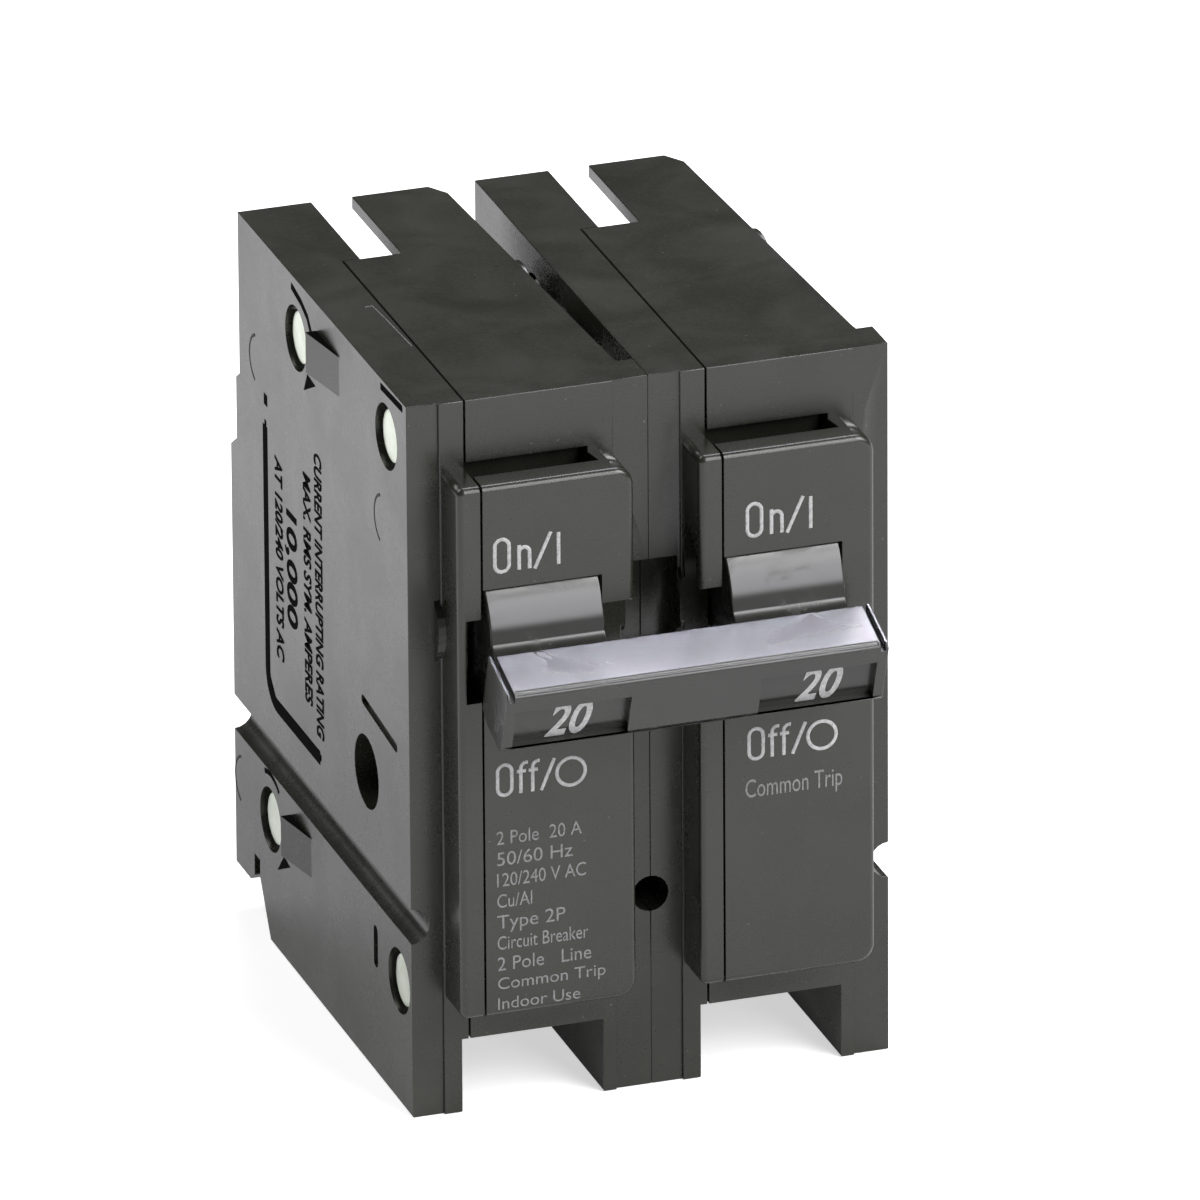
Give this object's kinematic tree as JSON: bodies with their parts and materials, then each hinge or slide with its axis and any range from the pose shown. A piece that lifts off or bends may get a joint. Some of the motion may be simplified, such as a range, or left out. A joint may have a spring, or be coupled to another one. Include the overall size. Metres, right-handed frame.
{
  "type": "two-pole circuit breaker",
  "caption": "Black two-pole plug-on circuit breaker with tied toggle handles, stab jaws, common trip, and screw terminals between its feet.",
  "frame": {"origin": "centre of the bounding box in plan, on the plane of the feet", "axes": "+X to the right seen from the front, +Y from the handles to the panel side, +Z from the wire terminals up to the stab end"},
  "size_m": [0.052, 0.0734, 0.0776],
  "materials": {
    "thermoset": "black moulded thermoset, semi-gloss with faint moulding marks",
    "toggle": "glossy black moulded plastic",
    "copper": "bare copper strip and braid",
    "contact_silver": "silver alloy contact button",
    "steel": "zinc plated steel",
    "rivet_metal": "pale plated tubular rivet",
    "bimetal": "rolled bimetal strip"
  },
  "bodies": {
    "case": {"left_case_cover": "thermoset", "left_case_base": "thermoset", "left_stationary_contact": "contact_silver", "left_line_terminal": "copper", "left_jaw_spring": "steel", "left_main_spring": "steel", "left_bimetal": "bimetal", "left_magnet_yoke": "steel", "left_braid": "copper", "left_load_strap": "copper", "left_calibration_screw": "steel", "left_arc_plate_1": "steel", "left_arc_plate_2": "steel", "left_arc_plate_3": "steel", "left_rivet_1": "rivet_metal", "left_rivet_2": "rivet_metal", "left_rivet_3": "rivet_metal", "left_rivet_4": "rivet_metal", "right_case_cover": "thermoset", "right_case_base": "thermoset", "right_stationary_contact": "contact_silver", "right_line_terminal": "copper", "right_jaw_spring": "steel", "right_main_spring": "steel", "right_bimetal": "bimetal", "right_magnet_yoke": "steel", "right_braid": "copper", "right_load_strap": "copper", "right_calibration_screw": "steel", "right_arc_plate_1": "steel", "right_arc_plate_2": "steel", "right_arc_plate_3": "steel", "right_rivet_1": "rivet_metal", "right_rivet_2": "rivet_metal", "right_rivet_3": "rivet_metal", "right_rivet_4": "rivet_metal", "joining_bushing": "steel"},
    "handles": {"left_handle": "toggle", "right_handle": "toggle", "handle_bar": "toggle"},
    "common_trip": {"trip_bar": "thermoset"},
    "left_arm": {"left_contact_arm": "copper", "left_moving_contact": "contact_silver"},
    "left_cradle_lever": {"left_cradle": "steel"},
    "left_latch": {"left_armature": "steel"},
    "left_clamp": {"left_wire_clamp": "steel"},
    "left_screw": {"left_terminal_screw": "steel"},
    "right_arm": {"right_contact_arm": "copper", "right_moving_contact": "contact_silver"},
    "right_cradle_lever": {"right_cradle": "steel"},
    "right_latch": {"right_armature": "steel"},
    "right_clamp": {"right_wire_clamp": "steel"},
    "right_screw": {"right_terminal_screw": "steel"}
  },
  "joints": [
    {"name": "handle_swing", "type": "hinge", "parent": "case", "child": "handles", "pos_m": [0.0006, -0.0193, 0.053], "axis": [-1, 0, 0], "range_deg": [0, 36]},
    {"name": "trip_turn", "type": "hinge", "parent": "case", "child": "common_trip", "pos_m": [0.0006, 0.0097, 0.02], "axis": [-1, 0, 0], "range_deg": [0, 10]},
    {"name": "left_arm_swing", "type": "hinge", "parent": "case", "child": "left_arm", "pos_m": [-0.0136, -0.0073, 0.05], "axis": [1, 0, 0], "range_deg": [0, 22.1]},
    {"name": "left_cradle_swing", "type": "hinge", "parent": "case", "child": "left_cradle_lever", "pos_m": [-0.0083, 0.0027, 0.041], "axis": [-1, 0, 0], "range_deg": [0, 15.1]},
    {"name": "left_latch_swing", "type": "hinge", "parent": "case", "child": "left_latch", "pos_m": [-0.0119, 0.0147, 0.0415], "axis": [1, 0, 0], "range_deg": [0, 4.6]},
    {"name": "left_clamp_slide", "type": "slide", "parent": "case", "child": "left_clamp", "axis": [0, 1, 0], "range_m": [0, 0.004]},
    {"name": "left_screw_turn", "type": "hinge", "parent": "left_clamp", "child": "left_screw", "pos_m": [-0.0121, 0.0007, 0.0054], "axis": [0, 1, 0], "range_deg": [0, 1820]},
    {"name": "right_arm_swing", "type": "hinge", "parent": "case", "child": "right_arm", "pos_m": [0.0118, -0.0073, 0.05], "axis": [1, 0, 0], "range_deg": [0, 22.1]},
    {"name": "right_cradle_swing", "type": "hinge", "parent": "case", "child": "right_cradle_lever", "pos_m": [0.0171, 0.0027, 0.041], "axis": [-1, 0, 0], "range_deg": [0, 15.1]},
    {"name": "right_latch_swing", "type": "hinge", "parent": "case", "child": "right_latch", "pos_m": [0.0135, 0.0147, 0.0415], "axis": [1, 0, 0], "range_deg": [0, 4.6]},
    {"name": "right_clamp_slide", "type": "slide", "parent": "case", "child": "right_clamp", "axis": [0, 1, 0], "range_m": [0, 0.004]},
    {"name": "right_screw_turn", "type": "hinge", "parent": "right_clamp", "child": "right_screw", "pos_m": [0.0133, 0.0007, 0.0054], "axis": [0, 1, 0], "range_deg": [0, 1820]}
  ],
  "couplings": [
    {"joint": "left_arm_swing", "follows": "handle_swing", "ratio": 0.6111},
    {"joint": "left_cradle_swing", "follows": "trip_turn", "ratio": 1.5},
    {"joint": "left_latch_swing", "follows": "trip_turn", "ratio": 0.45},
    {"joint": "left_screw_turn", "follows": "left_clamp_slide", "rad_per_m": 7915},
    {"joint": "right_arm_swing", "follows": "handle_swing", "ratio": 0.6111},
    {"joint": "right_cradle_swing", "follows": "trip_turn", "ratio": 1.5},
    {"joint": "right_latch_swing", "follows": "trip_turn", "ratio": 0.45},
    {"joint": "right_screw_turn", "follows": "right_clamp_slide", "rad_per_m": 7915}
  ]
}
